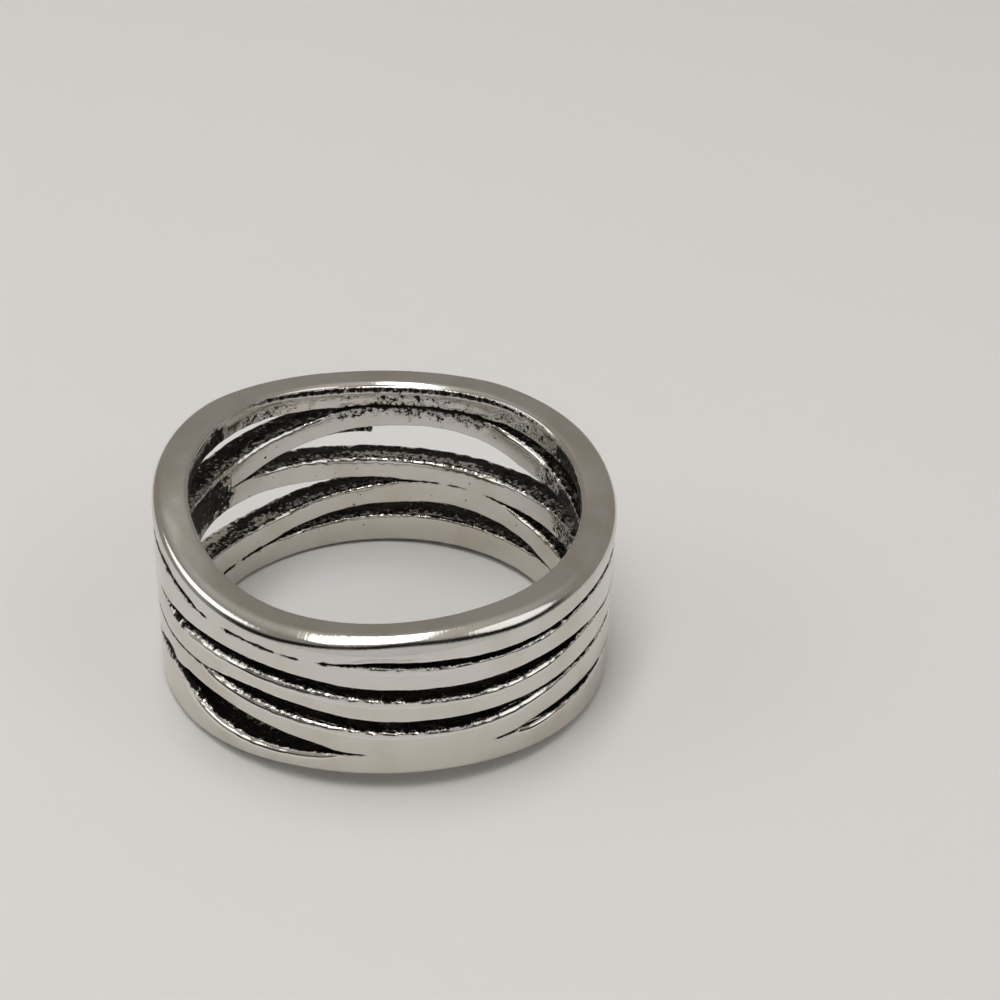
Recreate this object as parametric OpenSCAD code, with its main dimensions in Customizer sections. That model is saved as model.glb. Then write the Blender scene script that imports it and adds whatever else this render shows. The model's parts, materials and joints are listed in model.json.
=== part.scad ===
// Multi-layer ring: five strands, cast in one piece, that part and join round the finger.
// It lies on its side: +Z runs along the finger, and the surface that it rests on is at zero.

/* [Finger] */
// Inside diameter, about US size 8
inner_d = 18; // [15:0.1:22]

/* [Band] */
// Thickness of the wall, from the finger to the outside
wall = 1.7; // [1.5:0.1:2.2]
// Height of the band where it is tallest
band_h = 10.1; // [8:0.1:12]

/* [Edges] */
// Rounding of the upper rim's outer edge
rim_outer_r = 0.75; // [0.3:0.05:0.85]
// Rounding of the upper rim's inner edge
rim_inner_r = 0.4; // [0.2:0.05:0.5]
// Rounding of both edges of the foot
foot_r = 0.25; // [0.1:0.05:0.35]

/* [Slots] */
// Degrees round the finger over which a slot's end narrows to its point
point_deg = 9; // [4:1:12]
// Opening left at the very tip of a slot
tip_gap = 0.04; // [0.02:0.01:0.1]

/* [Smoothness] */
// Degrees between one cut across a strand and the next
step_deg = 5; // [3, 5]

/* [Hidden] */

inner_r = inner_d / 2;
outer_r = inner_r + wall;

// The table's heights are those of a band this tall
TABLE_H = 10.1;
height_scale = band_h / TABLE_H;

// How far the cutting shapes reach past the band
reach = 1;

// Smoothness of the tube's outside and of the finger bore
$fn = 180;

// Angles of the sections that a cut all the way round goes through
all_round_angles = [-180 : step_deg : 180 - step_deg];

// One row for each section across the band, anticlockwise round the finger from the left.
// Where a slot's top is no higher than its bottom, the two strands there have run together.
// Columns: angle, rim, slot A top and bottom, slot B, slot C and slot D likewise, foot
SECTIONS = [
    [-180, 9.70, 8.60, 7.30, 5.90, 6.00, 4.75, 3.60, 1.90, 2.10, 0.00],
    [-165, 9.20, 8.20, 7.90, 6.00, 6.00, 4.40, 4.20, 2.60, 2.60, 0.00],
    [-150, 8.58, 7.65, 7.55, 5.90, 5.50, 4.15, 4.10, 3.00, 2.75, 0.05],
    [-135, 8.08, 7.00, 6.95, 6.00, 5.35, 4.25, 4.05, 3.10, 1.65, 0.20],
    [-120, 7.82, 6.80, 6.80, 5.95, 5.30, 4.45, 3.70, 2.80, 1.40, 0.45],
    [-105, 7.80, 6.65, 6.65, 5.75, 5.10, 4.20, 3.40, 2.35, 1.60, 0.70],
    [ -90, 7.88, 6.95, 6.60, 5.55, 4.85, 3.85, 3.15, 1.95, 1.95, 0.80],
    [ -75, 8.00, 6.95, 6.50, 5.50, 4.75, 3.80, 3.05, 1.90, 2.10, 0.80],
    [ -60, 8.09, 6.85, 6.45, 5.50, 4.70, 3.80, 3.10, 1.95, 1.90, 0.67],
    [ -45, 8.13, 6.90, 6.50, 5.60, 4.85, 3.85, 3.45, 2.35, 1.80, 0.42],
    [ -30, 8.22, 7.15, 6.85, 5.55, 5.20, 4.05, 3.70, 2.45, 1.90, 0.20],
    [ -15, 8.42, 7.40, 6.95, 5.30, 5.30, 4.10, 3.75, 2.25, 2.10, 0.00],
    [   0, 8.73, 7.80, 6.95, 5.65, 5.50, 4.10, 3.45, 2.00, 2.10, 0.00],
    [  15, 9.10, 8.15, 6.95, 6.10, 5.30, 4.05, 3.20, 1.90, 2.00, 0.00],
    [  30, 9.45, 8.20, 7.30, 6.30, 5.15, 3.95, 3.20, 1.90, 1.85, 0.10],
    [  45, 9.62, 8.35, 7.75, 6.40, 5.05, 3.85, 3.45, 2.30, 1.75, 0.20],
    [  60, 9.66, 8.40, 8.10, 6.95, 5.00, 3.90, 3.85, 2.60, 1.75, 0.20],
    [  75, 9.56, 8.30, 8.20, 7.15, 5.00, 3.90, 3.90, 2.70, 1.75, 0.18],
    [  90, 9.48, 8.25, 8.15, 7.10, 5.05, 3.95, 3.70, 2.50, 1.70, 0.12],
    [ 105, 9.52, 8.30, 8.10, 6.95, 5.20, 4.10, 3.35, 2.30, 1.60, 0.08],
    [ 120, 9.69, 8.40, 7.65, 6.60, 5.45, 4.25, 3.00, 1.90, 1.45, 0.05],
    [ 135, 9.93, 8.65, 7.35, 6.15, 5.65, 4.55, 2.65, 1.50, 1.35, 0.05],
    [ 150, 10.1, 8.75, 7.00, 5.85, 5.85, 4.75, 2.65, 1.35, 1.35, 0.08],
    [ 165, 10.0, 8.75, 6.90, 5.80, 5.95, 4.85, 2.95, 1.50, 1.60, 0.00]
];
SECTION_DEG = 360 / len(SECTIONS);
RIM = 1;
FOOT = 10;
SLOT_A = 2;
SLOT_B = 4;
SLOT_C = 6;
SLOT_D = 8;

// Each opening is the stretch of a slot between two points where its strands run together.
// Columns: the slot's column in SECTIONS, angle of its start, angle of its end
OPENINGS = [
    [SLOT_A, -98, 64],
    [SLOT_A, 104, 198],
    [SLOT_B, -156, -16],
    [SLOT_B, -6, 146],
    [SLOT_C, -139, 57],
    [SLOT_C, 84, 202],
    [SLOT_D, -151, -92],
    [SLOT_D, -58, -9],
    [SLOT_D, 31, 138]
];

// Height in one column at any angle, on a smooth closed curve through the rows
function height_at(column, angle) =
    let (
        place = (angle + 180) / SECTION_DEG,
        row = floor(place),
        u = place - row,
        count = len(SECTIONS),
        before = SECTIONS[(row - 1 + count) % count][column],
        here = SECTIONS[(row + count) % count][column],
        next = SECTIONS[(row + 1) % count][column],
        after = SECTIONS[(row + 2) % count][column],
        slope = (next - before) / 2,
        next_slope = (after - here) / 2,
        bend = 3 * (next - here) - 2 * slope - next_slope,
        twist = 2 * (here - next) + slope + next_slope
    )
    height_scale * (here + slope * u + bend * u * u + twist * u * u * u);

// The foot is lapped flat where it would dip below the surface that it rests on
function foot_at(angle) = max(0, height_at(FOOT, angle));

// A point given by its radius and height, on the section at an angle
function at(angle, point) = [point[0] * cos(angle), point[0] * sin(angle), point[1]];

// An edge's rounding, from the wall over to the flat, with its first point pushed past the wall.
// side is 1 on the outside and -1 on the inside; up is 1 on the rim and -1 on the foot.
function rounded_edge(wall_r, flat_z, radius, side, up, tilts) =
    let (
        arc = [for (tilt = tilts) [
            wall_r - side * radius * (1 - cos(tilt)),
            flat_z - up * radius * (1 - sin(tilt))
        ]],
        past = arc[0] + (arc[0] - arc[1]) * (reach / radius)
    )
    [past, for (i = [1 : len(arc) - 1]) arc[i]];

function reversed(list) = [for (i = [len(list) - 1 : -1 : 0]) list[i]];

// Tilts of the surface at an edge's points: a wide rounding has three flats and a small one two
WIDE_EDGE = [0, 30, 60, 90];
SMALL_EDGE = [0, 45, 90];

// Everything above the rim, on one section
function above_rim(angle) =
    let (
        z = height_at(RIM, angle),
        inner = rounded_edge(inner_r, z, rim_inner_r, -1, 1, SMALL_EDGE),
        outer = rounded_edge(outer_r, z, rim_outer_r, 1, 1, WIDE_EDGE),
        top_z = band_h + 2 * reach
    )
    [
        for (p = concat(inner, reversed(outer))) at(angle, p),
        at(angle, [outer[0][0], top_z]),
        at(angle, [inner[0][0], top_z])
    ];

// Everything below the foot, on one section
function below_foot(angle) =
    let (
        z = foot_at(angle),
        inner = rounded_edge(inner_r, z, foot_r, -1, -1, SMALL_EDGE),
        outer = rounded_edge(outer_r, z, foot_r, 1, -1, SMALL_EDGE)
    )
    [
        at(angle, [inner[0][0], -2 * reach]),
        at(angle, [outer[0][0], -2 * reach]),
        for (p = concat(outer, reversed(inner))) at(angle, p)
    ];

// The empty space of an opening, on one section
function opening_section(opening, angle) =
    let (
        top = height_at(opening[0], angle),
        bottom = height_at(opening[0] + 1, angle),
        from_end = min(angle - opening[1], opening[2] - angle),
        width = tip_gap + max(0, top - bottom - tip_gap) * min(1, from_end / point_deg),
        middle = (top + bottom) / 2,
        low = middle - width / 2,
        high = middle + width / 2
    )
    [
        at(angle, [inner_r - reach, low]),
        at(angle, [outer_r + reach, low]),
        at(angle, [outer_r + reach, high]),
        at(angle, [inner_r - reach, high])
    ];

// A solid through equal sections, joined end to start if it goes all the way round
module through_sections(sections, all_round) {
    count = len(sections);
    corners = len(sections[0]);
    points = [for (s = sections) each s];
    spans = all_round ? count : count - 1;
    sides = [
        for (i = [0 : spans - 1], j = [0 : corners - 1])
        let (
            a = i * corners + j,
            b = i * corners + (j + 1) % corners,
            c = ((i + 1) % count) * corners + (j + 1) % corners,
            d = ((i + 1) % count) * corners + j
        )
        each [[a, b, c], [a, c, d]]
    ];
    ends = all_round ? [] : [
        [for (j = [corners - 1 : -1 : 0]) j],
        [for (j = [0 : corners - 1]) (count - 1) * corners + j]
    ];
    polyhedron(points, concat(sides, ends));
}

// The plain tube that the strands are cut from, with the true finger bore
module blank_tube() {
    translate([0, 0, -reach])
        difference() {
            cylinder(r = outer_r, h = band_h + 2 * reach);
            translate([0, 0, -reach])
                cylinder(r = inner_r, h = band_h + 4 * reach);
        }
}

module opening_cut(opening) {
    length = opening[2] - opening[1];
    steps = ceil(length / step_deg);
    through_sections(
        [for (i = [0 : steps]) opening_section(opening, opening[1] + length * i / steps)],
        all_round = false
    );
}

module ring_band() {
    color([0.74, 0.72, 0.70])
        difference() {
            blank_tube();
            through_sections([for (a = all_round_angles) above_rim(a)], all_round = true);
            through_sections([for (a = all_round_angles) below_foot(a)], all_round = true);
            for (opening = OPENINGS) opening_cut(opening);
        }
}

ring_band();
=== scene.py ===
import json
import math

import bmesh
import bpy
from mathutils import Matrix, Vector, noise


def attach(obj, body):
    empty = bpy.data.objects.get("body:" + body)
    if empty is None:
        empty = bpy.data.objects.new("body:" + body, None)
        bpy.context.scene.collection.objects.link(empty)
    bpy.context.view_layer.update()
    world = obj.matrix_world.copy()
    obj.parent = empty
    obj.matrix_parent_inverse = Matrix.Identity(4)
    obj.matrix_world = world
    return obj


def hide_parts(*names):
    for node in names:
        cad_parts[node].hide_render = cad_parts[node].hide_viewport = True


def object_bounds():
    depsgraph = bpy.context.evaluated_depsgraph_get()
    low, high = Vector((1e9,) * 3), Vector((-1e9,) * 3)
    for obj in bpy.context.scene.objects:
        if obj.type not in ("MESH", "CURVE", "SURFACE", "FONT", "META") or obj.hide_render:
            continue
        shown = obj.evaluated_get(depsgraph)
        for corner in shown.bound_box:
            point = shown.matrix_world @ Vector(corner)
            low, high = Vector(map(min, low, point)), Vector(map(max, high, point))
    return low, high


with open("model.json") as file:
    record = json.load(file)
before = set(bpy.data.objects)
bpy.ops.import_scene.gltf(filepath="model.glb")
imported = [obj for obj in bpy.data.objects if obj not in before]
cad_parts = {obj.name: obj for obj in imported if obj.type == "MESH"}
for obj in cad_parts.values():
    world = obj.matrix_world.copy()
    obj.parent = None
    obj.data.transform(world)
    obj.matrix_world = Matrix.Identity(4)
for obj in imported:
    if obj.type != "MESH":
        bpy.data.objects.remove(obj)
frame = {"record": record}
cad_low, cad_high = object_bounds()

# The cast band. The whole ring is one silver casting: five strands wind round the finger, one above
# the other, part at four slots and run together in places. The outside, the rim and the bore are
# polished bright, and the slots keep the black of the oxidising bath.
MM = 0.001
bore = next(m for m in frame["record"]["mounts"] if m["name"] == "finger_bore")
INNER_R = bore["dims"]["r_mm"]
OUTER_R = (cad_high.x - cad_low.x) / 2 / MM
WALL = OUTER_R - INNER_R
TOP_Z = cad_high.z / MM

# Degrees round the finger between one cut across the band and the next
COLUMN_DEG = 1

# Heights in mm, a row each 15 degrees, anticlockwise from the left of the photograph
COLUMNS = ("rim", "a_top", "a_bottom", "b_top", "b_bottom", "c_top", "c_bottom", "d_top", "d_bottom", "foot")
SECTIONS = {
    -180: (9.70, 8.60, 7.30, 5.90, 6.00, 4.75, 3.60, 1.90, 2.10, 0.00),
    -165: (9.20, 8.20, 7.90, 6.00, 6.00, 4.40, 4.20, 2.60, 2.60, 0.00),
    -150: (8.58, 7.65, 7.55, 5.90, 5.50, 4.15, 4.10, 3.00, 2.75, 0.05),
    -135: (8.08, 7.00, 6.95, 6.00, 5.35, 4.25, 4.05, 3.10, 1.65, 0.20),
    -120: (7.82, 6.80, 6.80, 5.95, 5.30, 4.45, 3.70, 2.80, 1.40, 0.45),
    -105: (7.80, 6.65, 6.65, 5.75, 5.10, 4.20, 3.40, 2.35, 1.60, 0.70),
    -90: (7.88, 6.95, 6.60, 5.55, 4.85, 3.85, 3.15, 1.95, 1.95, 0.80),
    -75: (8.00, 6.95, 6.50, 5.50, 4.75, 3.80, 3.05, 1.90, 2.10, 0.80),
    -60: (8.09, 6.85, 6.45, 5.50, 4.70, 3.80, 3.10, 1.95, 1.90, 0.67),
    -45: (8.13, 6.90, 6.50, 5.60, 4.85, 3.85, 3.45, 2.35, 1.80, 0.42),
    -30: (8.22, 7.15, 6.85, 5.55, 5.20, 4.05, 3.70, 2.45, 1.90, 0.20),
    -15: (8.42, 7.40, 6.95, 5.30, 5.30, 4.10, 3.75, 2.25, 2.10, 0.00),
    0: (8.73, 7.80, 6.95, 5.65, 5.50, 4.10, 3.45, 2.00, 2.10, 0.00),
    15: (9.10, 8.15, 6.95, 6.10, 5.30, 4.05, 3.20, 1.90, 2.00, 0.00),
    30: (9.45, 8.20, 7.30, 6.30, 5.15, 3.95, 3.20, 1.90, 1.85, 0.10),
    45: (9.62, 8.35, 7.75, 6.40, 5.05, 3.85, 3.45, 2.30, 1.75, 0.20),
    60: (9.66, 8.40, 8.10, 6.95, 5.00, 3.90, 3.85, 2.60, 1.75, 0.20),
    75: (9.56, 8.30, 8.20, 7.15, 5.00, 3.90, 3.90, 2.70, 1.75, 0.18),
    90: (9.48, 8.25, 8.15, 7.10, 5.05, 3.95, 3.70, 2.50, 1.70, 0.12),
    105: (9.52, 8.30, 8.10, 6.95, 5.20, 4.10, 3.35, 2.30, 1.60, 0.08),
    120: (9.69, 8.40, 7.65, 6.60, 5.45, 4.25, 3.00, 1.90, 1.45, 0.05),
    135: (9.93, 8.65, 7.35, 6.15, 5.65, 4.55, 2.65, 1.50, 1.35, 0.05),
    150: (10.1, 8.75, 7.00, 5.85, 5.85, 4.75, 2.65, 1.35, 1.35, 0.08),
    165: (10.0, 8.75, 6.90, 5.80, 5.95, 4.85, 2.95, 1.50, 1.60, 0.00),
}
SECTION_DEG = 15

# The slots from the lowest up, and where each is cut through, as start and end in degrees
SLOTS = "dcba"
OPENINGS = {
    "a": ((-98, 64), (104, 198)),
    "b": ((-156, -16), (-6, 146)),
    "c": ((-139, 57), (84, 202)),
    "d": ((-151, -92), (-58, -9), (31, 138)),
}
# Degrees over which a slot narrows to its point, and the width left at the very tip
POINT_DEG = 9
TIP_GAP = 0.04

# Where two strands have run together, a seam shows between them: start, end, depth, width of each of
# its edges, and how far it has closed to dashes, from 0 to 1
SEAMS = {
    "a": ((-162, -139, 0.15, 0.30, 0.25), (-135, -98, 0.07, 0.11, 0.9), (64, 104, 0.15, 0.24, 0.25)),
    "b": ((-16, -6, 0.06, 0.06, 0), (146, 152, 0.03, 0.05, 0)),
    "c": ((57, 84, 0.05, 0.05, 0.95), (202, 221, 0.06, 0.07, 0.5)),
    "d": (
        (-155, -151, 0.30, 0.55, 0), (-159, -151, 0.20, 0.34, 0), (-165, -151, 0.12, 0.16, 0),
        (138, 157, 0.09, 0.12, 0.9), (-9, 0, 0.03, 0.05, 0.5), (22, 31, 0.03, 0.05, 0.5),
    ),
}
# The least radius of a seam's edges
SEAM_EDGE_R = 0.05
# Degrees over which a seam fades out at its ends, and a slot's point runs out past its end
SEAM_FADE_DEG = 4
TIP_FADE_DEG = 2
# How unevenly a seam has closed, as a share of how far it has closed, and the least that counts
SEAM_UNEVEN = 0.6
CLOSED_LEAST = 0.2

# In front the strands' lower edges hang a little below their line: angle, mm
HANGS = (
    (-180, 0.00), (-165, 0.04), (-150, 0.10), (-140, 0.14), (-120, 0.12), (-104, 0.08), (-90, 0.10),
    (-75, 0.14), (-60, 0.17), (-40, 0.18), (-20, 0.16), (0, 0.06), (15, 0.00), (180, 0.00),
)

# How far a slot's edge wanders from its line, and how ragged it is
EDGE_WANDER = 0.014
EDGE_RAGGED = 0.005
# Each kind of wandering: its own place in the noise, and how many waves it has on a radius of one
WAVERS = {
    "slot_bottom": (0, 22), "slot_bottom_ragged": (3.1, 48),
    "slot_top": (0.9, 16), "slot_top_ragged": (5.3, 40),
    "seam": (1.7, 25), "dashes": (4.2, 13),
    "rubbed": (6.4, 26), "patches": (8.2, 34),
}
# The noise's shift from one slot to the next, and from one side of the wall to the other
SLOT_SHIFT = 7.3
SIDE_SHIFT = 2.1


def height(column, angle):
    """Height in one column at any angle, on a smooth closed curve through the rows."""
    at = COLUMNS.index(column)
    place = (angle + 180) % 360 / SECTION_DEG
    row = math.floor(place)
    u = place - row
    z0, z1, z2, z3 = (
        SECTIONS[(row + step) % len(SECTIONS) * SECTION_DEG - 180][at] for step in (-1, 0, 1, 2)
    )
    slope, next_slope = (z2 - z0) / 2, (z3 - z1) / 2
    bend = 3 * (z2 - z1) - 2 * slope - next_slope
    twist = 2 * (z1 - z2) + slope + next_slope
    return z1 + slope * u + bend * u * u + twist * u * u * u


def smooth_step(t):
    """From 0 to 1 as t goes from 0 to 1, with a soft start and end, and level beyond them."""
    t = min(1, max(0, t))
    return t * t * (3 - 2 * t)


def inside_stretch(angle, start, end):
    """Degrees from the nearer end of a stretch, under zero outside it."""
    middle, half = (start + end) / 2, (end - start) / 2
    off = (angle - middle + 180) % 360 - 180
    return half - abs(off)


def between(rows, angle):
    """A table's values at any angle."""
    for (start, *before), (end, *after) in zip(rows, rows[1:]):
        if start <= angle <= end:
            part = smooth_step((angle - start) / (end - start))
            return [a + (b - a) * part for a, b in zip(before, after)]


def waver(kind, slot, angle, side):
    """A hand-finished line's small wandering, about -1 to 1, without a break all round."""
    place, waves = WAVERS[kind]
    seed = SLOTS.index(slot) * SLOT_SHIFT + side * SIDE_SHIFT + place
    turn = math.radians(angle)
    return 2 * noise.noise(Vector((waves * math.cos(turn), waves * math.sin(turn), seed)))


def mouth(slot, angle, side):
    """A slot at an angle, outside (side 1) or inside (-1): its bottom and top, how far it is open, its
    seam's depth and width, and the degrees from its nearer end."""
    top, bottom = height(slot + "_top", angle), height(slot + "_bottom", angle)
    from_end = max(inside_stretch(angle, *opening) for opening in OPENINGS[slot])
    open_share = smooth_step(from_end / POINT_DEG)
    width = TIP_GAP + max(0, top - bottom - TIP_GAP) * min(1, max(0, from_end / POINT_DEG))
    middle = (top + bottom) / 2
    seam, seam_r = 0, SEAM_EDGE_R
    for start, end, depth, edge_r, broken in SEAMS[slot]:
        share = smooth_step(inside_stretch(angle, start - SEAM_FADE_DEG, end + SEAM_FADE_DEG) / SEAM_FADE_DEG)
        dash = smooth_step(0.5 + 2 * waver("dashes", slot, angle, side))
        uneven = SEAM_UNEVEN * max(CLOSED_LEAST, broken)
        share *= (1 - broken * (1 - dash)) * (1 + uneven * waver("seam", slot, angle, side))
        if depth * share > seam:
            seam, seam_r = depth * share, max(SEAM_EDGE_R, edge_r * share)
    low = middle - width / 2
    low += open_share * (
        EDGE_WANDER * waver("slot_bottom", slot, angle, side)
        + EDGE_RAGGED * waver("slot_bottom_ragged", slot, angle, side)
    )
    high = middle + width / 2
    high += open_share * (
        EDGE_WANDER * waver("slot_top", slot, angle, side)
        + EDGE_RAGGED * waver("slot_top_ragged", slot, angle, side)
    )
    high = max(low + TIP_GAP, high - open_share * between(HANGS, angle)[0])
    return low, high, open_share, seam, seam_r, from_end


# Every edge of a strand is rubbed round in the tumbler, most of all the upper rim. A strand's upper
# edge catches the polishing wheel and is rounder than its lower one. Radii in mm.
RIM_DOME = 0.012
# The rim is rubbed rounder in front, where it is lowest, than at the back: angle, then the radius of
# its outer edge and of its inner edge
RIM_EDGES = (
    (-180, 0.42, 0.28), (-150, 0.60, 0.22), (-120, 0.78, 0.18), (-90, 0.88, 0.18), (-60, 0.80, 0.18),
    (-30, 0.62, 0.22), (0, 0.45, 0.28), (45, 0.42, 0.36), (70, 0.30, 0.46), (90, 0.24, 0.48),
    (110, 0.30, 0.46), (135, 0.42, 0.38), (180, 0.42, 0.28),
)
FOOT_R = 0.25
LOWER_EDGE_R = 0.20
LOWER_EDGE_INNER_R = 0.10
# How far a strand's flat face is crowned
CROWN = 0.012
# Each strand's upper edge is ground wider in places on the outside, and hardly at all in others: angle,
# height and depth of the rounding, how uneven it is, how much black is left on it
UPPER_EDGES = {
    "a": (
        (-180, 0.21, 0.21, 0.10, 0.55), (-104, 0.21, 0.21, 0.10, 0.50), (-90, 0.29, 0.29, 0.08, 0.44),
        (-76, 0.27, 0.27, 0.08, 0.50), (-66, 0.14, 0.14, 0.20, 0.70), (-55, 0.12, 0.12, 0.20, 0.75),
        (-48, 0.20, 0.18, 0.10, 0.45), (-40, 0.12, 0.12, 0.20, 0.80), (180, 0.16, 0.16, 0.20, 0.80),
    ),
    "b": (
        (-180, 0.12, 0.12, 0.20, 0.60), (-161, 0.16, 0.45, 0.10, 0.70), (-150, 0.22, 0.80, 0.10, 0.66),
        (-143, 0.26, 0.70, 0.10, 0.80), (-135, 0.34, 0.34, 0.08, 0.52), (-100, 0.35, 0.35, 0.07, 0.56),
        (-88, 0.33, 0.33, 0.07, 0.66), (-76, 0.27, 0.27, 0.07, 0.70), (-62, 0.25, 0.25, 0.07, 0.55),
        (-53, 0.20, 0.20, 0.20, 0.55), (-46, 0.27, 0.23, 0.10, 0.15), (-39, 0.15, 0.15, 0.20, 0.70),
        (20, 0.14, 0.14, 0.20, 0.80), (60, 0.34, 0.34, 0.25, 0.75), (120, 0.32, 0.32, 0.25, 0.75),
        (150, 0.14, 0.14, 0.20, 0.60), (180, 0.12, 0.12, 0.20, 0.60),
    ),
    "c": (
        (-180, 0.14, 0.14, 0.20, 0.70), (-142, 0.28, 0.28, 0.08, 0.55), (-131, 0.35, 0.35, 0.08, 0.52),
        (-112, 0.32, 0.32, 0.07, 0.52), (-90, 0.30, 0.30, 0.07, 0.54), (-76, 0.26, 0.26, 0.07, 0.66),
        (-62, 0.28, 0.28, 0.07, 0.50), (-54, 0.32, 0.32, 0.07, 0.20), (-45, 0.25, 0.24, 0.07, 0.42),
        (-38, 0.14, 0.14, 0.20, 0.75), (80, 0.14, 0.14, 0.20, 0.75), (110, 0.32, 0.32, 0.25, 0.60),
        (165, 0.30, 0.30, 0.20, 0.50), (180, 0.14, 0.14, 0.20, 0.70),
    ),
    "d": (
        (-180, 0.10, 0.10, 0.10, 0.60), (-160, 0.50, 0.16, 0.10, 1.30), (-151, 0.62, 0.22, 0.10, 1.30),
        (-143, 0.52, 0.26, 0.06, 1.20), (-135, 0.36, 0.32, 0.05, 1.00), (-126, 0.33, 0.34, 0.04, 1.00),
        (-106, 0.29, 0.29, 0.05, 1.00), (-92, 0.18, 0.18, 0.10, 0.60),
        (-58, 0.24, 0.24, 0.08, 0.00), (-48, 0.28, 0.26, 0.08, 0.00), (-40, 0.16, 0.16, 0.15, 0.50),
        (-30, 0.12, 0.12, 0.20, 0.80), (180, 0.12, 0.12, 0.20, 0.80),
    ),
}
# The same for the upper edges on the inside, where height and depth are alike: angle, radius, how
# uneven, how much black
INNER_EDGES = {
    "a": (
        (-180, 0.16, 0.30, 0.60), (-150, 0.14, 0.30, 0.85), (28, 0.14, 0.30, 0.80), (38, 0.24, 0.25, 0.48),
        (56, 0.24, 0.25, 0.48), (66, 0.14, 0.30, 0.85), (108, 0.14, 0.30, 0.85), (122, 0.20, 0.20, 0.25),
        (168, 0.20, 0.20, 0.30), (180, 0.16, 0.30, 0.60),
    ),
    "b": (
        (-180, 0.14, 0.30, 0.85), (42, 0.14, 0.30, 0.85), (60, 0.30, 0.25, 0.54), (112, 0.30, 0.25, 0.52),
        (124, 0.16, 0.30, 0.70), (180, 0.14, 0.30, 0.85),
    ),
    "c": (
        (-180, 0.14, 0.30, 0.85), (20, 0.14, 0.30, 0.85), (28, 0.22, 0.25, 0.50), (42, 0.22, 0.25, 0.50),
        (52, 0.14, 0.30, 0.85), (90, 0.16, 0.25, 0.70), (104, 0.20, 0.25, 0.52), (126, 0.20, 0.25, 0.52),
        (140, 0.14, 0.30, 0.85), (180, 0.14, 0.30, 0.85),
    ),
    "d": (
        (-180, 0.14, 0.30, 0.85), (80, 0.14, 0.25, 0.75), (100, 0.18, 0.25, 0.56), (122, 0.17, 0.25, 0.56),
        (134, 0.14, 0.30, 0.85), (180, 0.14, 0.30, 0.85),
    ),
}
# How patchy the black is along an upper edge
UPPER_PATCHY = 0.8
# How near the slot the black keeps: it fades over all of a seam's edges, and keeps to the last bit of an
# open slot's edges
SEAM_SPREAD = 1
OPEN_SPREAD = 6
# On the outside it creeps out over two slots' upper edges where this is lower, and keeps right inside the
# slot where it is higher: angle, spread
CREEPS = {
    "b": ((-180, 6), (-162, 6), (-156, 0.4), (-143, 0.4), (-135, 6), (180, 6)),
    "d": (
        (-180, 6), (-164, 6), (-158, 1), (-147, 1), (-138, 10), (-130, 25), (-104, 25), (-92, 6), (180, 6),
    ),
}
# The cuts across a rounded edge, as its tilt from 0 at the wall to 90 at the flat: the rim's outer edge,
# its inner edge and all the others
WIDE_TILTS = [0, 8, 18, 29, 40, 51, 62, 73, 83, 90]
RIM_INNER_TILTS = [0, 12, 27, 42, 58, 74, 90]
EDGE_TILTS = [0, 16, 40, 65, 90]
# Places across a strand's flat face, as shares of its height
FACE_SHARES = [0.06, 0.28, 0.5, 0.72, 0.94]
# The least height of the face under the rim's rounding
FACE_LEAST = 0.04
# Under the rim's inner edge at the back a black line is painted in, standing in for the dark reflection of
# the tent's opening: start, end, how black. Then the degrees over which it fades, and its share on the first
# cuts across the edge.
RIM_DARK_REFLECTION = (22, 158, 0.75)
REFLECTION_FADE_DEG = 36
REFLECTION_SHARES = (0.3, 0.9, 1)
# A slot stays black into its points: the higher, the further in
TIP_BLACK = 2.5
# The cuts across the top of the rim and the underside of the foot, as shares of the way over
TOP_SHARES = (0.25, 0.5, 0.75)
UNDER_SHARES = (1 / 3, 2 / 3)


def edge(z, radius, sink, up, tilts, black, spread=OPEN_SPREAD):
    """A rounded edge as (depth, z, black) from the wall over to the flat at height z, which the strand
    lies below (up 1) or above (-1)."""
    return [
        (
            CROWN + sink * (math.cos(math.radians(tilts[0])) - math.cos(math.radians(tilt))),
            z - up * radius * (1 - math.sin(math.radians(tilt))),
            black * math.sin(math.radians(tilt)) ** spread,
        )
        for tilt in tilts
    ]


def face(low, high):
    """A strand's flat face between two edges, very slightly crowned."""
    return [(CROWN * (2 * share - 1) ** 2, low + (high - low) * share, 0) for share in FACE_SHARES]


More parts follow.
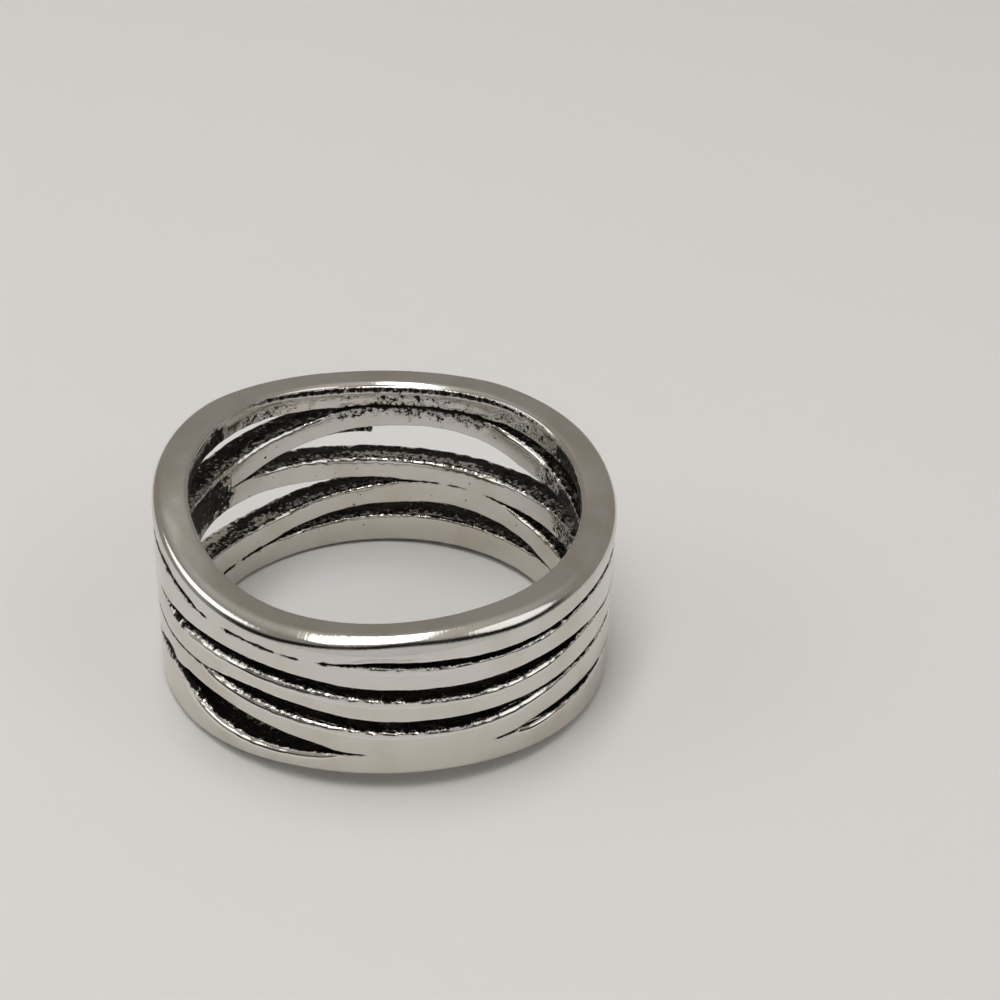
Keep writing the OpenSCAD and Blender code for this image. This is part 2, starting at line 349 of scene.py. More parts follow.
def wall_outline(side, angle):
    """One wall of the band cut at an angle, from the underside of the foot up to the top of the rim."""
    foot = max(0, height("foot", angle))
    rim = min(TOP_Z, height("rim", angle)) - RIM_DOME
    points = edge(foot, FOOT_R, FOOT_R, -1, EDGE_TILTS, 0)[::-1]
    reached = foot + FOOT_R
    for slot in SLOTS:
        low, high, open_share, seam, seam_r, from_end = mouth(slot, angle, side)
        if side > 0:
            open_r, open_sink, uneven, upper_black = between(UPPER_EDGES[slot], angle)
        else:
            open_r, uneven, upper_black = between(INNER_EDGES[slot], angle)
            open_sink = open_r
        rubbed = 1 + uneven * waver("rubbed", slot, angle, side)
        upper_black *= 1 + UPPER_PATCHY * waver("patches", slot, angle, side)
        upper_r = seam_r + (open_r * rubbed - seam_r) * open_share
        lower_r = LOWER_EDGE_R if side > 0 else LOWER_EDGE_INNER_R
        lower_r = seam_r + (lower_r - seam_r) * open_share
        tip = smooth_step(1 + from_end / TIP_FADE_DEG)
        upper_sink = lower_sink = max(seam, SEAM_EDGE_R * tip)
        if from_end >= 0:
            upper_sink = seam_r + (open_sink * rubbed - seam_r) * open_share
            lower_sink = lower_r
        blackened = min(1, upper_sink / SEAM_EDGE_R)
        well_open = open_share ** TIP_BLACK
        upper_black = blackened * (1 + (upper_black - 1) * well_open)
        spread = SEAM_SPREAD + (OPEN_SPREAD - SEAM_SPREAD) * well_open
        upper_spread = spread
        if side > 0 and slot in CREEPS:
            upper_spread = SEAM_SPREAD + (between(CREEPS[slot], angle)[0] - SEAM_SPREAD) * well_open
        points += face(reached, low - upper_r)
        points += edge(low, upper_r, upper_sink, 1, EDGE_TILTS, upper_black, upper_spread)
        points += edge(high, lower_r, lower_sink, -1, EDGE_TILTS, blackened, spread)[::-1]
        reached = high + lower_r
    rim_outer_r, rim_inner_r = between(RIM_EDGES, angle)
    rim_r, tilts = (rim_outer_r, WIDE_TILTS) if side > 0 else (rim_inner_r, RIM_INNER_TILTS)
    # Where the top strand is too thin for all of it, the rim's rounding runs into the slot's lip
    rim_low = max(rim - rim_r, reached + FACE_LEAST)
    first_tilt = math.degrees(math.asin(1 - (rim - rim_low) / rim_r))
    tilts = [first_tilt + tilt * (1 - first_tilt / 90) for tilt in tilts]
    points += face(reached, rim_low)
    rim_points = edge(rim, rim_r, rim_r, 1, tilts, 0)
    if side < 0:
        # The painted dark reflection under the rim's inner edge, on the bore's side only
        start, end, reflection_black = RIM_DARK_REFLECTION
        reflection_black *= smooth_step(inside_stretch(angle, start, end) / REFLECTION_FADE_DEG)
        for i, part in enumerate(REFLECTION_SHARES):
            rim_points[i] = (*rim_points[i][:2], reflection_black * part)
    points += rim_points
    return [(OUTER_R - d if side > 0 else INNER_R + d, z, black) for d, z, black in points]


def band_outline(angle):
    """The band's outline at an angle, up the outside, over the rim, down the inside and back under."""
    outside, inside = wall_outline(1, angle), wall_outline(-1, angle)
    (outer_r, rim_z, _), inner_r = outside[-1], inside[-1][0]
    top = [
        (outer_r + (inner_r - outer_r) * share, rim_z + RIM_DOME * math.sin(math.pi * share), 0)
        for share in TOP_SHARES
    ]
    (outer_r, foot_z, _), inner_r = outside[0], inside[0][0]
    under = [(inner_r + (outer_r - inner_r) * share, foot_z, 0) for share in UNDER_SHARES]
    return outside + top + inside[::-1] + under


# The outline is spun once round the finger, and each cut across it then takes the strands' heights
# at its own angle
ring = bmesh.new()
row_of = ring.verts.layers.int.new("row")
black_of = ring.verts.layers.float.new("black")
pitted_of = ring.verts.layers.float.new("pitted")
marks_of = ring.verts.layers.float.new("marks")
worn_of = ring.verts.layers.float.new("worn")
angle_of = ring.verts.layers.float.new("angle")
outline = band_outline(0)
profile = [ring.verts.new((r, 0, z)) for r, z, _ in outline]
for row, vert in enumerate(profile):
    vert[row_of] = row
profile_edges = [ring.edges.new((profile[i - 1], profile[i])) for i in range(len(profile))]
bmesh.ops.spin(
    ring,
    geom=profile + profile_edges,
    cent=(0, 0, 0),
    axis=(0, 0, 1),
    angle=math.tau,
    steps=360 // COLUMN_DEG,
    use_merge=True,
)

# The buff can't reach into the bore's two sides, nor under the rim at the back. The wall there keeps some of
# the mould's skin, black and pitted. The patch from 50 to 116 degrees also darkens the wall below seam A at
# the back as painted shade under the seam. Columns: start, end, bottom, top, black, pits, roughness in mm
SKIN_AND_SHADE_LEFT = (
    (148, 216, 5.0, 9.7, 0.80, 0.90, 0.035),
    (144, 200, 3.2, 5.4, 0.50, 0.70, 0.015),
    (118, 156, 8.3, 9.6, 0.30, 0.90, 0.008),
    (62, 126, 8.35, 9.2, 0.30, 1.00, 0.008),
    # Partly the mould's pits, partly painted shade below seam A
    (50, 116, 7.5, 8.7, 0.40, 0.80, 0.006),
    (20, 64, 8.0, 9.3, 0.30, 0.80, 0.010),
    (-18, 36, 5.4, 9.2, 0.72, 0.90, 0.030),
    (-14, 32, 3.4, 5.6, 0.50, 0.70, 0.015),
    (10, 160, 0.3, 8.4, 0.06, 0.42, 0.000),
)
# The degrees and the mm over which a patch fades out, and how ragged its border is
SKIN_FADE_DEG = 12
SKIN_FADE = 0.45
SKIN_RAGGED = 0.9
# Waves in each mm of the border, coarse and fine, how strong the fine ones are, and of the skin's lumps
RAGGED_WAVES = 0.9
RAGGED_FINE_WAVES = 2.6
RAGGED_FINE = 0.5
SKIN_LUMP_WAVES = 3.1
# What is no deeper than this in the bore's wall is face, not slot
FACE_DEPTH = 3 * CROWN
# The rim's front edge and the strands' upper edges keep short marks of the wheel across them
FRONT_MARKS = (-135, -40)
MARKS_FADE_DEG = 15
# An open slot's edges are rubbed brighter than the faces
EDGE_WORN = 0.5

outlines = {angle: band_outline(angle) for angle in range(-180, 180, COLUMN_DEG)}
outer_rows = len(wall_outline(1, 0))
first_bore_row = outer_rows + len(TOP_SHARES)
rim_edge_rows = range(outer_rows - len(WIDE_TILTS), outer_rows)
# Each slot's first row on the outside, where its upper edge starts, and the rows of the edges themselves
rows_a_slot = len(FACE_SHARES) + 2 * len(EDGE_TILTS)
slot_rows = {slot: len(EDGE_TILTS) + len(FACE_SHARES) + n * rows_a_slot for n, slot in enumerate(SLOTS)}
upper_edge_rows = {row for first in slot_rows.values() for row in range(first, first + len(EDGE_TILTS))}
edge_slots = {
    row: slot
    for slot, first in slot_rows.items()
    for row in range(first + 1, first + 2 * len(EDGE_TILTS) - 1)
}
for vert in ring.verts:
    angle = round(math.degrees(math.atan2(vert.co.y, vert.co.x)) / COLUMN_DEG) * COLUMN_DEG
    angle = (angle + 180) % 360 - 180
    r, z, black = outlines[angle][vert[row_of]]
    turn = math.radians(angle)
    pitted = 0
    if vert[row_of] >= first_bore_row and r < INNER_R + FACE_DEPTH:
        spot = Vector((r * math.cos(turn), r * math.sin(turn), z))
        ragged = noise.noise(spot * RAGGED_WAVES) + RAGGED_FINE * noise.noise(spot * RAGGED_FINE_WAVES)
        ragged *= SKIN_RAGGED
        for start, end, bottom, top, skin_and_shade_black, skin_pits, skin_rough in SKIN_AND_SHADE_LEFT:
            share = smooth_step(inside_stretch(angle, start, end) / SKIN_FADE_DEG + ragged)
            share *= smooth_step((z - bottom) / SKIN_FADE + ragged)
            share *= smooth_step((top - z) / SKIN_FADE + ragged)
            black = max(black, skin_and_shade_black * share)
            pitted = max(pitted, skin_pits * share)
            r += skin_rough * share * (1 + noise.noise(spot * SKIN_LUMP_WAVES))
    vert.co = (r * math.cos(turn), r * math.sin(turn), z)
    vert[angle_of] = angle
    vert[black_of] = black
    vert[pitted_of] = pitted
    if vert[row_of] in edge_slots:
        _, _, open_share, *_ = mouth(edge_slots[vert[row_of]], angle, 1)
        vert[worn_of] = EDGE_WORN * open_share
    marked = inside_stretch(angle, *FRONT_MARKS) / MARKS_FADE_DEG if vert[row_of] in rim_edge_rows else 0
    vert[marks_of] = 1 if vert[row_of] in upper_edge_rows else smooth_step(marked)

# Each opening's mouths are taken out of both walls, and its floor and roof join them straight through.
# A face just at an opening's end still counts as in it.
ANGLE_SLACK = 0.01
openings_faces = {}
for slot, first in slot_rows.items():
    outer_low = first + len(EDGE_TILTS) - 1
    inner_low = len(outline) - len(UNDER_SHARES) - 1 - outer_low
    for rows in ({outer_low, outer_low + 1}, {inner_low, inner_low - 1}):
        strip = [f for f in ring.faces if all(v[row_of] in rows for v in f.verts)]
        for start, end in OPENINGS[slot]:
            openings_faces.setdefault((slot, start), []).extend(
                f for f in strip
                if all(inside_stretch(v[angle_of], start, end) > -ANGLE_SLACK for v in f.verts)
            )
for faces in openings_faces.values():
    bmesh.ops.delete(ring, geom=faces, context="FACES")
    bmesh.ops.bridge_loops(ring, edges=[e for e in ring.edges if e.is_boundary])

# The slots' floors and roofs stay rough from the mould. The wheel reaches a little way in from both
# walls, more on a floor than on a roof. Lengths in mm.
WALL_CUTS = 8
# How high the lumps stand, how far in they are at full height, and their waves in each mm
ROUGH = 0.055
ROUGH_REACH = 0.35
ROUGH_WAVES = 1.6
ROUGH_FINE_WAVES = 3.7
# How far in the wheel reaches, and the black there and in the middle of the wall
WHEEL_REACH = 0.40
WHEEL_INNER_REACH = 1.0
FLOOR_BLACK = 0.50
FLOOR_INNER_BLACK = 0.34
ROOF_BLACK = 0.80
DEEPEST_BLACK = 0.88
# Where the wheel has rubbed a floor through, from outside (1) or inside (-1) the ring: side, start, end,
# lowest and highest place on the floor, black there
RUBBED = (
    (1, -164, -128, 5.2, 6.2, 0.36), (1, -150, -116, 3.3, 4.6, 0.50), (1, 140, 204, 2.4, 4.3, 0.20),
    (-1, 60, 112, 4.7, 5.5, 0.43), (-1, 20, 52, 4.8, 5.5, 0.55), (-1, 60, 100, 8.0, 8.4, 0.50),
    (-1, 127, 143, 2.4, 2.9, 0.30), (-1, 143, 170, 2.5, 3.8, 0.60),
)
# Ridges that the cutter left across a floor: start, end, lowest and highest place, how high they stand.
# They lie slantwise, and their tops are rubbed less black.
RIDGES = ((118, 162, 6.9, 8.0, 0.055), (112, 150, 2.6, 3.6, 0.045))
RIDGE_ACROSS = Vector((2.4, -1.6, 0))
RIDGE_ALONG = Vector((0, 0.5, 0))
RIDGE_RUBBED = 0.45
# Their noise: dimension, lacunarity, octaves, offset, gain
RIDGE_NOISE = (1, 2, 2, 1, 2)
through = [e for e in ring.edges if abs(e.verts[0].co.xy.length - e.verts[1].co.xy.length) > WALL / 3]
split = bmesh.ops.subdivide_edges(ring, edges=through, cuts=WALL_CUTS)
bmesh.ops.recalc_face_normals(ring, faces=ring.faces)
for vert in split["geom_inner"]:
    if not isinstance(vert, bmesh.types.BMVert):
        continue
    r, z = vert.co.xy.length, vert.co.z
    angle = math.degrees(math.atan2(vert.co.y, vert.co.x))
    depth = min(OUTER_R - r, r - INNER_R)
    vert.normal_update()
    on_floor = vert.normal.z > 0
    from_inside = r - INNER_R < WALL / 2
    start_black, wheel_reach = ROOF_BLACK, WHEEL_REACH
    if on_floor and from_inside:
        start_black, wheel_reach = FLOOR_INNER_BLACK, WHEEL_INNER_REACH
    elif on_floor:
        start_black = FLOOR_BLACK
    black = start_black + (DEEPEST_BLACK - start_black) * smooth_step(depth / wheel_reach)
    rise = ROUGH * (noise.noise(vert.co * ROUGH_WAVES) + noise.noise(vert.co * ROUGH_FINE_WAVES))
    if on_floor:
        for side, start, end, lowest, highest, rubbed_black in RUBBED:
            if lowest < z < highest and from_inside == (side < 0):
                black += (rubbed_black - black) * smooth_step(inside_stretch(angle, start, end) / POINT_DEG)
        for start, end, lowest, highest, stand in RIDGES:
            if lowest < z < highest:
                spot = Vector((RIDGE_ACROSS.dot(vert.co), RIDGE_ALONG.dot(vert.co), 0))
                ridge = noise.ridged_multi_fractal(spot, *RIDGE_NOISE) - 1
                ridge *= smooth_step(inside_stretch(angle, start, end) / POINT_DEG)
                rise += stand * ridge
                black -= RIDGE_RUBBED * max(0, ridge)
    vert[black_of] = black
    vert[worn_of] = 0
    vert.co.z += rise * smooth_step(depth / ROUGH_REACH)


def finished(shape, name, scale=1):
    """A finished shape, shaded smooth and put into the scene as an object at the origin."""
    for f in shape.faces:
        f.smooth = True
    bmesh.ops.scale(shape, vec=(scale, scale, scale), verts=shape.verts)
    mesh = bpy.data.meshes.new(name)
    shape.to_mesh(mesh)
    shape.free()
    made = bpy.data.objects.new(name, mesh)
    bpy.context.scene.collection.objects.link(made)
    return made


band = finished(ring, "ring_band_cast", MM)
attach(band, "root")
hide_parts("ring_band")

# A casting spur. A thin whisker of silver, left where the mould cracked, grows out of the second
# strand's underside at the back and hangs free in the slot, with a small bead at its end.
# Lengths in mm. Where it starts: distance from the ring's middle, degrees, height.
SPUR_R = 0.10
SPUR_FROM = (9.16, 114, 6.84)
SPUR_TURN = math.radians(-14.5)
SPUR_RISE = 0.02
SPUR_STEPS = 14
SPUR_SIDES = 10
BEAD_R = 0.17
# How crooked it is, the waves in each mm of that, its seed, and how black the spur is
SPUR_CROOKED = 0.03
SPUR_WAVES = 2.3
SPUR_SEED = 5
SPUR_BLACK = 0.62
whisker = bmesh.new()
bmesh.ops.create_circle(whisker, cap_ends=True, segments=SPUR_SIDES, radius=SPUR_R)
upright = Matrix.Rotation(math.pi / 2, 3, "X")
bmesh.ops.rotate(whisker, cent=(0, 0, 0), matrix=upright, verts=whisker.verts)
spur_r, spur_deg, spur_z = SPUR_FROM
bmesh.ops.translate(whisker, vec=(spur_r, 0, spur_z), verts=whisker.verts)
round_to_start = Matrix.Rotation(math.radians(spur_deg), 3, "Z")
bmesh.ops.rotate(whisker, cent=(0, 0, 0), matrix=round_to_start, verts=whisker.verts)
bmesh.ops.spin(
    whisker,
    geom=whisker.faces[:],
    cent=(0, 0, 0),
    axis=(0, 0, 1),
    dvec=(0, 0, SPUR_RISE / SPUR_STEPS),
    angle=SPUR_TURN,
    steps=SPUR_STEPS,
)
bead_turn = math.radians(spur_deg) + SPUR_TURN
bead_at = Vector((spur_r * math.cos(bead_turn), spur_r * math.sin(bead_turn), spur_z + SPUR_RISE))
bmesh.ops.create_icosphere(whisker, subdivisions=2, radius=BEAD_R, matrix=Matrix.Translation(bead_at))
noise.seed_set(SPUR_SEED)
for vert in whisker.verts:
    vert.co += SPUR_CROOKED * noise.noise_vector(vert.co * SPUR_WAVES)
bmesh.ops.recalc_face_normals(whisker, faces=whisker.faces)
whisker_black = whisker.verts.layers.float.new("black")
for vert in whisker.verts:
    vert[whisker_black] = SPUR_BLACK
spur = finished(whisker, "casting_spur", MM)
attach(spur, "root")

# The finish of both: silver brushed and buffed along the strands, a black crust left in the slots and
# seams, rubbed through on their edges, and pits from the casting where the buff does not reach.
SILVER = (0.715, 0.695, 0.67, 1)
RUBBED_BRIGHT = (0.90, 0.885, 0.86, 1)
TARNISH_AND_SHADE_COLOUR = (0.60, 0.56, 0.475, 1)
# The silver is tinted darker and warmer towards the foot, between these heights in metres: partly tarnish,
# partly painted shade for the ring's own shadow on the table that the lower strands reflect. The tarnish also
# lies in a mottle.
SHADE_AND_TARNISH_TOP = 0.0070
SHADE_AND_TARNISH_FOOT = 0.0005
SHADE_AND_TARNISH_LOW_DOWN = 0.5
TARNISH_MOTTLED = 0.6
TARNISH_PITTED = 0.1
MOTTLE_PER_METRE = 420
MOTTLE_FADE = (0.40, 0.74)
BLACK = (0.018, 0.016, 0.014, 1)
BUFFED_ROUGH = 0.085
DULL_ROUGH = 0.17
RUBBING_FADE = (0.35, 0.7)
BLACK_ROUGH = 0.48
# The crust gives way between these depths of black, pushed about by specks where there is any black
CRUST_FADE = (0.32, 0.58)
CRUST_PUSH = 2.4
CRUST_PUSH_FROM = (0, 0.12)
SPECKS_PER_METRE = 4500
# Pits show where the speckle is over this, less the second for each unit of pitting
PIT_LEVEL = 0.84
PIT_LEVEL_DROP = 0.32
PIT_EDGE = 0.05
PITS_PER_METRE = 3600
GRAIN_PER_METRE = 9000
# The lines' waves along the band on a radius of one, and across it in each metre
BUFFING = (7, 15000)
CHATTER = (85, 700)
RUBBING = (5, 1600)
# Heights in thousandths of a mm
BUFFING_HEIGHT = 1.3
CHATTER_HEIGHT = 1.8
MARKS_HEIGHT = 3.5
CRUMBS_HEIGHT = 50
CRUMBS_FADE = (0.02, 0.4)
PIT_HEIGHT = -14
GRAIN_HEIGHT = 6


def put(tree, kind, **settings):
    """Adds a node with its settings."""
    node = tree.nodes.new(kind)
    for name, value in settings.items():
        setattr(node, name, value)
    return node


def feed(tree, socket, term):
    """Gives a socket a number, a colour or another node's output."""
    if isinstance(term, bpy.types.NodeSocket):
        tree.links.new(term, socket)
    else:
        socket.default_value = term


def calc(tree, operation, *terms):
    """A Math node's result."""
    node = put(tree, "ShaderNodeMath", operation=operation)
    for socket, term in zip(node.inputs, terms):
        feed(tree, socket, term)
    return node.outputs["Value"]


def fade(tree, value, low, high):
    """A value brought from between low and high to between 0 and 1, smoothly."""
    node = put(tree, "ShaderNodeMapRange", interpolation_type="SMOOTHSTEP")
    feed(tree, node.inputs["Value"], value)
    feed(tree, node.inputs["From Min"], low)
    feed(tree, node.inputs["From Max"], high)
    return node.outputs["Result"]


def speckle(tree, position, per_metre, detail=2, roughness=0.5):
    """Noise over a position, about 0.2 to 0.8."""
    node = put(tree, "ShaderNodeTexNoise")
    feed(tree, node.inputs["Vector"], position)
    feed(tree, node.inputs["Scale"], per_metre)
    node.inputs["Detail"].default_value = detail
    node.inputs["Roughness"].default_value = roughness
    return node.outputs["Fac"]


def tint(tree, share, first, second):
    """A colour between two."""
    node = put(tree, "ShaderNodeMix", data_type="RGBA")
    feed(tree, node.inputs["Factor"], share)
    feed(tree, node.inputs["A"], first)
    feed(tree, node.inputs["B"], second)
    return node.outputs["Result"]


def effect(name, takes, gives):
    """A shader node group with named inputs and outputs, and the sockets inside it for both."""
    group = bpy.data.node_groups.new(name, "ShaderNodeTree")
    for socket, kind in takes.items():
        group.interface.new_socket(name=socket, in_out="INPUT", socket_type="NodeSocket" + kind)
    for socket, kind in gives.items():
        group.interface.new_socket(name=socket, in_out="OUTPUT", socket_type="NodeSocket" + kind)
    return group, put(group, "NodeGroupInput").outputs, put(group, "NodeGroupOutput").inputs


def place(tree, group, terms):
    """An effect put into a material with its own values."""
    node = put(tree, "ShaderNodeGroup", node_tree=group)
    for name, term in terms.items():
        feed(tree, node.inputs[name], term)
    return node.outputs


# Lines that run round the band, or short marks across it where Along is large
lines, taken, given = effect(
    "lines_round_the_band", {"Position": "Vector", "Along": "Float", "Across": "Float"}, {"Lines": "Float"}
)
parts = put(lines, "ShaderNodeSeparateXYZ")
feed(lines, parts.inputs[0], taken["Position"])
radius = calc(
    lines, "SQRT",
    calc(lines, "MULTIPLY_ADD", parts.outputs["X"], parts.outputs["X"],
         calc(lines, "MULTIPLY", parts.outputs["Y"], parts.outputs["Y"])),
)
round_x = calc(lines, "MULTIPLY", calc(lines, "DIVIDE", parts.outputs["X"], radius), taken["Along"])
round_y = calc(lines, "MULTIPLY", calc(lines, "DIVIDE", parts.outputs["Y"], radius), taken["Along"])
whole = put(lines, "ShaderNodeCombineXYZ")
feed(lines, whole.inputs["X"], round_x)
feed(lines, whole.inputs["Y"], round_y)
feed(lines, whole.inputs["Z"], calc(lines, "MULTIPLY", parts.outputs["Z"], taken["Across"]))
streaks = put(lines, "ShaderNodeTexNoise", noise_dimensions="4D")
feed(lines, streaks.inputs["Vector"], whole.outputs["Vector"])
feed(lines, streaks.inputs["W"], calc(lines, "MULTIPLY", radius, taken["Across"]))
streaks.inputs["Scale"].default_value = 1
streaks.inputs["Detail"].default_value = 2.5
feed(lines, given["Lines"], streaks.outputs["Fac"])

# The black crust, thick where Recess is 1 and rubbed through to specks of silver where it is about half. The
# same input also carries the painted shade below seam A and the painted dark reflection under the rim's inner
# edge.
crust_and_shade, taken, given = effect(
    "black_crust", {"Position": "Vector", "Recess": "Float", "Specks per metre": "Float"},
    {"Black": "Float", "Crumbs": "Float"},
)
ragged = speckle(crust_and_shade, taken["Position"], taken["Specks per metre"], detail=4, roughness=0.7)
push = calc(crust_and_shade, "MULTIPLY", calc(crust_and_shade, "SUBTRACT", ragged, 0.5), CRUST_PUSH)
push = calc(crust_and_shade, "MULTIPLY", push, fade(crust_and_shade, taken["Recess"], *CRUST_PUSH_FROM))
feed(crust_and_shade, given["Black"], fade(crust_and_shade, calc(crust_and_shade, "ADD", taken["Recess"], push), *CRUST_FADE))
finer = calc(crust_and_shade, "MULTIPLY", taken["Specks per metre"], 2)
feed(crust_and_shade, given["Crumbs"], speckle(crust_and_shade, taken["Position"], finer, detail=3))

# Casting pits, none where Amount is 0
pits, taken, given = effect(
    "casting_pits", {"Position": "Vector", "Amount": "Float", "Pits per metre": "Float"}, {"Pits": "Float"}
)
spots = speckle(pits, taken["Position"], taken["Pits per metre"], detail=2, roughness=0.6)
least = calc(pits, "MULTIPLY_ADD", taken["Amount"], -PIT_LEVEL_DROP, PIT_LEVEL)
feed(pits, given["Pits"], fade(pits, calc(pits, "SUBTRACT", spots, least), 0, PIT_EDGE))


def new_finish(name, *pieces):
    """A new material put on the pieces, with its nodes and its shader."""
    finish = bpy.data.materials.new(name)
    finish.use_nodes = True
    for piece in pieces:
        piece.data.materials.append(finish)
    return finish.node_tree, finish.node_tree.nodes["Principled BSDF"]


tree, shader = new_finish("oxidised_silver", band, spur)
position = put(tree, "ShaderNodeTexCoord").outputs["Object"]
# The black attribute: the oxide, with the painted shade and painted reflection marks among it
blackness = put(tree, "ShaderNodeAttribute", attribute_name="black").outputs["Fac"]
pitted = put(tree, "ShaderNodeAttribute", attribute_name="pitted").outputs["Fac"]
marks = put(tree, "ShaderNodeAttribute", attribute_name="marks").outputs["Fac"]
worn = put(tree, "ShaderNodeAttribute", attribute_name="worn").outputs["Fac"]
crust_and_shade_here = place(
    tree, crust_and_shade, {"Position": position, "Recess": blackness, "Specks per metre": SPECKS_PER_METRE}
)
pits_here = place(
    tree, pits, {"Position": position, "Amount": pitted, "Pits per metre": PITS_PER_METRE}
)["Pits"]
black = calc(tree, "MAXIMUM", crust_and_shade_here["Black"], pits_here)
buffing, chatter, rubbing = (
    place(tree, lines, {"Position": position, "Along": along, "Across": across})["Lines"]
    for along, across in (BUFFING, CHATTER, RUBBING)
)

in_ring = put(tree, "ShaderNodeSeparateXYZ")
feed(tree, in_ring.inputs[0], position)
# Darker and warmer towards the foot: partly tarnish, partly painted shade
low_tarnish_and_shade = fade(tree, in_ring.outputs["Z"], SHADE_AND_TARNISH_TOP, SHADE_AND_TARNISH_FOOT)
mottled = fade(tree, speckle(tree, position, MOTTLE_PER_METRE, detail=4), *MOTTLE_FADE)
stain_and_shade = calc(
    tree, "MULTIPLY_ADD", low_tarnish_and_shade, SHADE_AND_TARNISH_LOW_DOWN, calc(tree, "MULTIPLY", mottled, TARNISH_MOTTLED)
)
stain_and_shade = calc(tree, "MULTIPLY_ADD", pitted, TARNISH_PITTED, stain_and_shade)
metal = tint(tree, worn, tint(tree, stain_and_shade, SILVER, TARNISH_AND_SHADE_COLOUR), RUBBED_BRIGHT)
feed(tree, shader.inputs["Base Color"], tint(tree, black, metal, BLACK))
bright_rough = calc(
    tree, "MULTIPLY_ADD", fade(tree, rubbing, *RUBBING_FADE), DULL_ROUGH - BUFFED_ROUGH, BUFFED_ROUGH
)
rough = put(tree, "ShaderNodeMix")
feed(tree, rough.inputs["Factor"], black)
feed(tree, rough.inputs["A"], bright_rough)
feed(tree, rough.inputs["B"], BLACK_ROUGH)
feed(tree, shader.inputs["Roughness"], rough.outputs["Result"])
shader.inputs["Metallic"].default_value = 1.0

near_slot = fade(tree, blackness, *CRUMBS_FADE)
crumbs = calc(tree, "MULTIPLY", crust_and_shade_here["Crumbs"], near_slot)
grain = calc(tree, "MULTIPLY", speckle(tree, position, GRAIN_PER_METRE), pitted)
chatter_height = calc(tree, "MULTIPLY_ADD", marks, MARKS_HEIGHT, CHATTER_HEIGHT)
total = calc(tree, "MULTIPLY", buffing, BUFFING_HEIGHT)
for term, strength in (
    (chatter, chatter_height), (crumbs, CRUMBS_HEIGHT), (pits_here, PIT_HEIGHT), (grain, GRAIN_HEIGHT),
):
    total = calc(tree, "ADD", total, calc(tree, "MULTIPLY", term, strength))
relief = put(tree, "ShaderNodeBump")
relief.inputs["Distance"].default_value = MM / 1000
feed(tree, relief.inputs["Height"], total)
feed(tree, shader.inputs["Normal"], relief.outputs["Normal"])

# The table is a plain sheet of pale matt paper, laid flat, with nothing fixed to it. It carries no
# pattern, only the ring's soft shadow.
SHEET_HALF = 1.5
PAPER = (0.795, 0.79, 0.79, 1)
PAPER_ROUGH = 0.7
sheet = bmesh.new()
bmesh.ops.create_grid(sheet, x_segments=1, y_segments=1, size=SHEET_HALF)
floor = finished(sheet, "table_sheet")
_, shader = new_finish("pale_paper", floor)
shader.inputs["Base Color"].default_value = PAPER
shader.inputs["Roughness"].default_value = PAPER_ROUGH

# The light is soft, as in a small photo tent. Lamps shine through a long piece of white cloth overhead,
# cut narrower towards the back. Its corners are given as seen from below, at a height of one.
CLOTH_HEIGHT = 0.5
CLOTH_CORNERS = {
    (-1, 1): (-0.14, 0.42), (1, 1): (0.01, 0.42), (1, -1): (0.09, -0.25), (-1, -1): (-0.49, -0.64),
}
CLOTH = (0.8, 0.8, 0.8, 1)
CLOTH_GLOW = (1, 0.985, 0.96, 1)
CLOTH_BRIGHTNESS = 5.4
cut = bmesh.new()
bmesh.ops.create_grid(cut, x_segments=1, y_segments=1, size=1)
for vert in cut.verts:
    x, y = CLOTH_CORNERS[round(vert.co.x), round(vert.co.y)]
    vert.co = (x * CLOTH_HEIGHT, y * CLOTH_HEIGHT, CLOTH_HEIGHT)
cloth = finished(cut, "overhead_cloth")
_, shader = new_finish("lit_cloth", cloth)
shader.inputs["Base Color"].default_value = CLOTH
shader.inputs["Emission Color"].default_value = CLOTH_GLOW
shader.inputs["Emission Strength"].default_value = CLOTH_BRIGHTNESS

# A soft panel stands on each side, an ellipse of white cloth with a lamp behind it. Name: azimuth (0 away
# from the camera, 90 right), elevation, distance, width and length in metres, turn, brightness
PANELS = {
    "left_panel": (-97, 34, 0.60, 0.40, 0.24, 0, 1.35),
    "right_panel": (108, 43, 0.60, 0.32, 0.46, 8, 0.9),
}
for name, (azimuth, elevation, distance, width, length, turn, brightness) in PANELS.items():
    data = bpy.data.lights.new(name, "AREA")
    data.shape = "ELLIPSE"
    data.size, data.size_y = width, length
    # An ellipse of this size gives each square metre this brightness for so much power
    data.energy = brightness * width * length * math.pi ** 2 / 4
    panel = bpy.data.objects.new(name, data)
    bpy.context.scene.collection.objects.link(panel)
    a, e = math.radians(azimuth), math.radians(elevation)
    place_at = Vector((math.sin(a) * math.cos(e), math.cos(a) * math.cos(e), math.sin(e))) * distance
    facing = place_at.to_track_quat("Z", "Y").to_matrix() @ Matrix.Rotation(math.radians(turn), 3, "Z")
    panel.matrix_world = Matrix.Translation(place_at) @ facing.to_4x4()

# The tent's own cloth is an even grey, paler at the top. Its front opening shows as a dark arch, and
# under that arch the table's far end is pale. Angles in degrees, azimuth 0 towards the camera, 90 right.
TENT_GREY = (0.285, 0.265, 0.24, 1)
TENT_TOP = (0.50, 0.475, 0.44, 1)
TOP_FADE = (42, 75)
OPENING_DARK = (0.012, 0.012, 0.012, 1)
UNDER_ARCH = (0.58, 0.565, 0.55, 1)
BACKDROP = (0.62, 0.59, 0.57, 1)
# The arch's middle, how far it spans to each side, its height at its feet, and its rise above them
ARCH_MIDDLE = 8
ARCH_LEFT = 67
ARCH_RIGHT = 70
ARCH_LOW = 12
ARCH_RISE = 44
# Half the width of its dark band, how much it widens up to an azimuth, and how soft its edges are
ARCH_BAND = 11
ARCH_WIDENS = 3
ARCH_WIDEST = 35
ARCH_EDGE = 5
# The arch's spans from its middle over which the dark fades out behind its feet
ARCH_PAST_FEET = (1.35, 1.02)

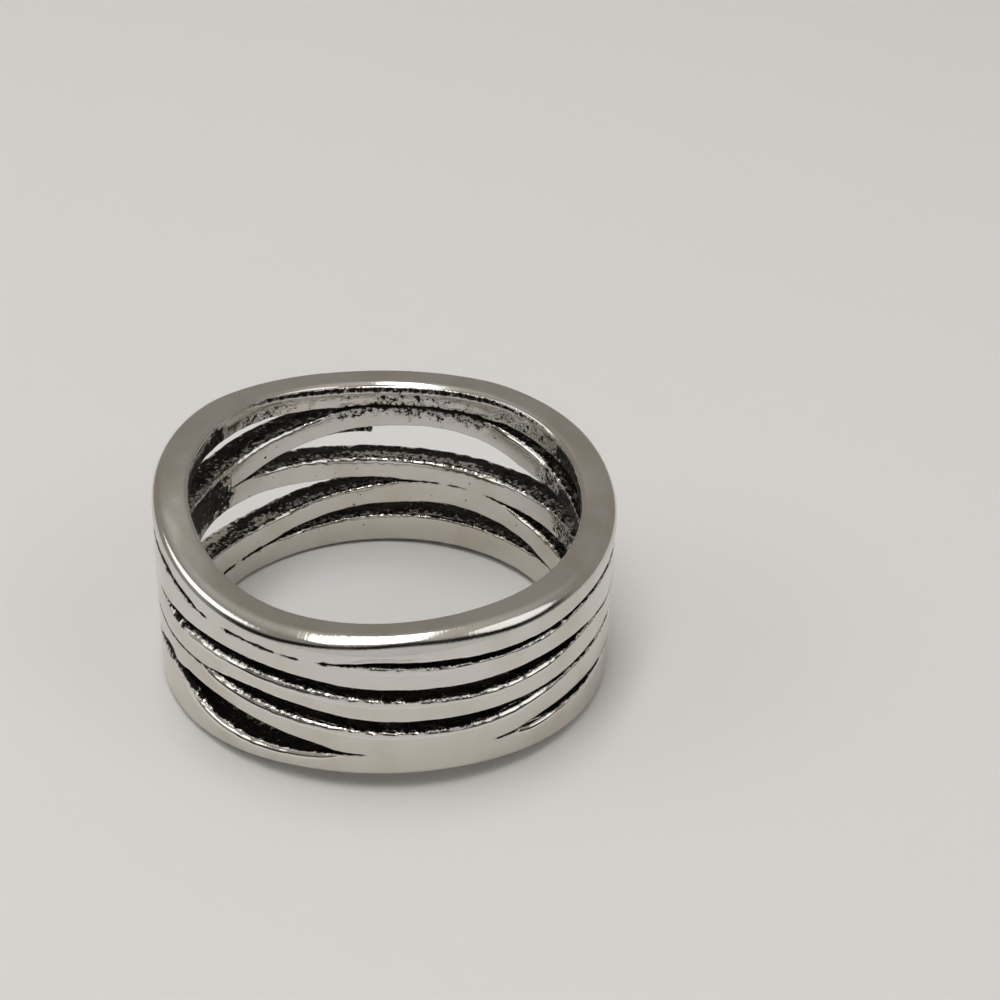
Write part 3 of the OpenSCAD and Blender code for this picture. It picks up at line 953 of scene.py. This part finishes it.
world = bpy.data.worlds.new("photo_tent")
world.use_nodes = True
tent = world.node_tree
way = put(tent, "ShaderNodeSeparateXYZ")
feed(tent, way.inputs[0], put(tent, "ShaderNodeTexCoord").outputs["Generated"])
towards_camera = calc(tent, "MULTIPLY", way.outputs["Y"], -1)
azimuth = calc(tent, "DEGREES", calc(tent, "ARCTAN2", way.outputs["X"], towards_camera))
elevation = calc(tent, "DEGREES", calc(tent, "ARCSINE", way.outputs["Z"]))
off = calc(tent, "SUBTRACT", azimuth, ARCH_MIDDLE)
off = calc(tent, "MAXIMUM", calc(tent, "DIVIDE", off, ARCH_RIGHT), calc(tent, "DIVIDE", off, -ARCH_LEFT))
rise = fade(tent, off, 1, 0)
over = calc(tent, "SUBTRACT", elevation, calc(tent, "MULTIPLY_ADD", rise, ARCH_RISE, ARCH_LOW))
in_front = fade(tent, off, *ARCH_PAST_FEET)
band_half = calc(tent, "MULTIPLY_ADD", fade(tent, azimuth, 0, ARCH_WIDEST), ARCH_WIDENS, ARCH_BAND)
past = calc(tent, "SUBTRACT", calc(tent, "ABSOLUTE", over), band_half)
in_band = fade(tent, past, ARCH_EDGE, -ARCH_EDGE)
under = fade(tent, over, ARCH_EDGE, -ARCH_EDGE)
colour = tint(tent, fade(tent, elevation, *TOP_FADE), TENT_GREY, TENT_TOP)
colour = tint(tent, calc(tent, "MULTIPLY", under, in_front), colour, UNDER_ARCH)
colour = tint(tent, calc(tent, "MULTIPLY", in_band, in_front), colour, OPENING_DARK)
colour = tint(tent, put(tent, "ShaderNodeLightPath").outputs["Is Camera Ray"], colour, BACKDROP)
feed(tent, tent.nodes["Background"].inputs["Color"], colour)
bpy.context.scene.world = world
bpy.context.scene.view_settings.view_transform = "Standard"

# The camera stands where the photograph was taken from. Its lens, how far it looks down and leans, and where
# the ring's middle falls in the picture were worked out from the outlines of the rim and foot.
PICTURE_PX = 1000
FOCAL_PX = 1880
SENSOR_MM = 36
LOOK_DOWN = math.radians(32.17)
LEAN = math.radians(2.35)
ORIGIN_PX = (386.1, 644.6)
DISTANCE = 91.95 * MM

forward = Vector((0, math.cos(LOOK_DOWN), -math.sin(LOOK_DOWN)))
sideways = Vector((1, 0, 0))
above = sideways.cross(forward)
right = math.cos(LEAN) * sideways + math.sin(LEAN) * above
up = -math.sin(LEAN) * sideways + math.cos(LEAN) * above
origin_x, origin_y = (px - PICTURE_PX / 2 for px in ORIGIN_PX)
to_origin = forward * FOCAL_PX + right * origin_x - up * origin_y

camera_data = bpy.data.cameras.new("camera")
camera_data.sensor_width = SENSOR_MM
camera_data.lens = FOCAL_PX / PICTURE_PX * SENSOR_MM
camera_data.clip_start = MM
camera = bpy.data.objects.new("camera", camera_data)
bpy.context.scene.collection.objects.link(camera)
camera.matrix_world = Matrix((right, up, -forward)).transposed().to_4x4()
camera.location = -DISTANCE * to_origin.normalized()
bpy.context.scene.camera = camera
